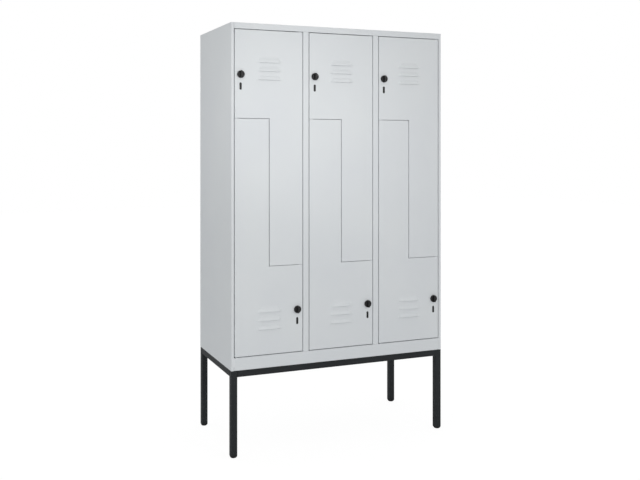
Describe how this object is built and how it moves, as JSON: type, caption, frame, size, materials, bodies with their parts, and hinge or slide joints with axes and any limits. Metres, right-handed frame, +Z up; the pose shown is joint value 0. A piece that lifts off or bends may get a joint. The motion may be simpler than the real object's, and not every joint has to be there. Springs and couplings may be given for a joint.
{
  "type": "z locker",
  "caption": "Steel Z locker on a square-tube stand: interlocking L-shaped doors with pressed louvers and turning knobs over Z-shaped partitions, rails and hooks.",
  "frame": {"origin": "on the floor, at the centre of the whole locker's box, knobs included", "axes": "+Z up, +X to the right as seen from the front, +Y to the back; the doors face -Y"},
  "size_m": [1.2, 0.518, 2.125],
  "materials": {
    "body_paint": "light grey powder coat, satin",
    "stand_paint": "black grey powder coat, satin",
    "foot_plastic": "moulded, matt",
    "lock_plastic": "moulded, fine grain",
    "hook_plastic": "moulded, satin",
    "zinc_steel": "bright zinc plating"
  },
  "bodies": {
    "carcass": {"side_panel_left": "body_paint", "side_panel_right": "body_paint", "back_panel": "body_paint", "roof_panel": "body_paint", "floor_panel": "body_paint", "divider_left": "body_paint", "divider_right": "body_paint", "z_partition_left": "body_paint", "z_partition_middle": "body_paint", "z_partition_right": "body_paint", "coat_rail_upper_left": "zinc_steel", "coat_rail_lower_left": "zinc_steel", "coat_rail_upper_middle": "zinc_steel", "coat_rail_lower_middle": "zinc_steel", "coat_rail_upper_right": "zinc_steel", "coat_rail_lower_right": "zinc_steel", "underframe_rail_front": "stand_paint", "underframe_rail_back": "stand_paint", "underframe_rail_left": "stand_paint", "underframe_rail_right": "stand_paint", "leg_front_left": "stand_paint", "foot_plug_front_left": "foot_plastic", "leg_front_right": "stand_paint", "foot_plug_front_right": "foot_plastic", "leg_back_left": "stand_paint", "foot_plug_back_left": "foot_plastic", "leg_back_right": "stand_paint", "foot_plug_back_right": "foot_plastic"},
    "upper_left_door": {"door_upper_left": "body_paint", "lock_case_upper_left": "lock_plastic"},
    "upper_left_latch": {"lock_knob_upper_left": "lock_plastic", "lock_cam_upper_left": "zinc_steel"},
    "upper_left_hook": {"coat_hook_upper_left": "hook_plastic"},
    "lower_left_door": {"door_lower_left": "body_paint", "lock_case_lower_left": "lock_plastic"},
    "lower_left_latch": {"lock_knob_lower_left": "lock_plastic", "lock_cam_lower_left": "zinc_steel"},
    "lower_left_hook": {"coat_hook_lower_left": "hook_plastic"},
    "upper_middle_door": {"door_upper_middle": "body_paint", "lock_case_upper_middle": "lock_plastic"},
    "upper_middle_latch": {"lock_knob_upper_middle": "lock_plastic", "lock_cam_upper_middle": "zinc_steel"},
    "upper_middle_hook": {"coat_hook_upper_middle": "hook_plastic"},
    "lower_middle_door": {"door_lower_middle": "body_paint", "lock_case_lower_middle": "lock_plastic"},
    "lower_middle_latch": {"lock_knob_lower_middle": "lock_plastic", "lock_cam_lower_middle": "zinc_steel"},
    "lower_middle_hook": {"coat_hook_lower_middle": "hook_plastic"},
    "upper_right_door": {"door_upper_right": "body_paint", "lock_case_upper_right": "lock_plastic"},
    "upper_right_latch": {"lock_knob_upper_right": "lock_plastic", "lock_cam_upper_right": "zinc_steel"},
    "upper_right_hook": {"coat_hook_upper_right": "hook_plastic"},
    "lower_right_door": {"door_lower_right": "body_paint", "lock_case_lower_right": "lock_plastic"},
    "lower_right_latch": {"lock_knob_lower_right": "lock_plastic", "lock_cam_lower_right": "zinc_steel"},
    "lower_right_hook": {"coat_hook_lower_right": "hook_plastic"}
  },
  "joints": [
    {"name": "upper_left_door_hinge", "type": "hinge", "parent": "carcass", "child": "upper_left_door", "pos_m": [-0.2293, -0.235, 1.5255], "axis": [0, 0, 1], "range_deg": [0, 90]},
    {"name": "upper_left_latch_turn", "type": "hinge", "parent": "upper_left_door", "child": "upper_left_latch", "pos_m": [-0.5515, -0.241, 1.8715], "axis": [0, 1, 0], "range_deg": [0, 90]},
    {"name": "upper_left_hook_slide", "type": "slide", "parent": "carcass", "child": "upper_left_hook", "axis": [1, 0, 0], "range_m": [-0.184, 0.184]},
    {"name": "lower_left_door_hinge", "type": "hinge", "parent": "carcass", "child": "lower_left_door", "pos_m": [-0.57195, -0.235, 1.0716], "axis": [0, 0, -1], "range_deg": [0, 90]},
    {"name": "lower_left_latch_turn", "type": "hinge", "parent": "lower_left_door", "child": "lower_left_latch", "pos_m": [-0.2485, -0.241, 0.7025], "axis": [0, -1, 0], "range_deg": [0, 90]},
    {"name": "lower_left_hook_slide", "type": "slide", "parent": "carcass", "child": "lower_left_hook", "axis": [1, 0, 0], "range_m": [-0.084, 0.084]},
    {"name": "upper_middle_door_hinge", "type": "hinge", "parent": "carcass", "child": "upper_middle_door", "pos_m": [0.1707, -0.235, 1.5255], "axis": [0, 0, 1], "range_deg": [0, 90]},
    {"name": "upper_middle_latch_turn", "type": "hinge", "parent": "upper_middle_door", "child": "upper_middle_latch", "pos_m": [-0.1515, -0.241, 1.8715], "axis": [0, 1, 0], "range_deg": [0, 90]},
    {"name": "upper_middle_hook_slide", "type": "slide", "parent": "carcass", "child": "upper_middle_hook", "axis": [1, 0, 0], "range_m": [-0.185, 0.185]},
    {"name": "lower_middle_door_hinge", "type": "hinge", "parent": "carcass", "child": "lower_middle_door", "pos_m": [-0.1707, -0.235, 1.0716], "axis": [0, 0, -1], "range_deg": [0, 90]},
    {"name": "lower_middle_latch_turn", "type": "hinge", "parent": "lower_middle_door", "child": "lower_middle_latch", "pos_m": [0.1515, -0.241, 0.7025], "axis": [0, -1, 0], "range_deg": [0, 90]},
    {"name": "lower_middle_hook_slide", "type": "slide", "parent": "carcass", "child": "lower_middle_hook", "axis": [1, 0, 0], "range_m": [-0.085, 0.085]},
    {"name": "upper_right_door_hinge", "type": "hinge", "parent": "carcass", "child": "upper_right_door", "pos_m": [0.57195, -0.235, 1.5255], "axis": [0, 0, 1], "range_deg": [0, 90]},
    {"name": "upper_right_latch_turn", "type": "hinge", "parent": "upper_right_door", "child": "upper_right_latch", "pos_m": [0.2485, -0.241, 1.8715], "axis": [0, 1, 0], "range_deg": [0, 90]},
    {"name": "upper_right_hook_slide", "type": "slide", "parent": "carcass", "child": "upper_right_hook", "axis": [1, 0, 0], "range_m": [-0.184, 0.184]},
    {"name": "lower_right_door_hinge", "type": "hinge", "parent": "carcass", "child": "lower_right_door", "pos_m": [0.2293, -0.235, 1.0716], "axis": [0, 0, -1], "range_deg": [0, 90]},
    {"name": "lower_right_latch_turn", "type": "hinge", "parent": "lower_right_door", "child": "lower_right_latch", "pos_m": [0.5515, -0.241, 0.7025], "axis": [0, -1, 0], "range_deg": [0, 90]},
    {"name": "lower_right_hook_slide", "type": "slide", "parent": "carcass", "child": "lower_right_hook", "axis": [1, 0, 0], "range_m": [-0.085, 0.085]}
  ]
}
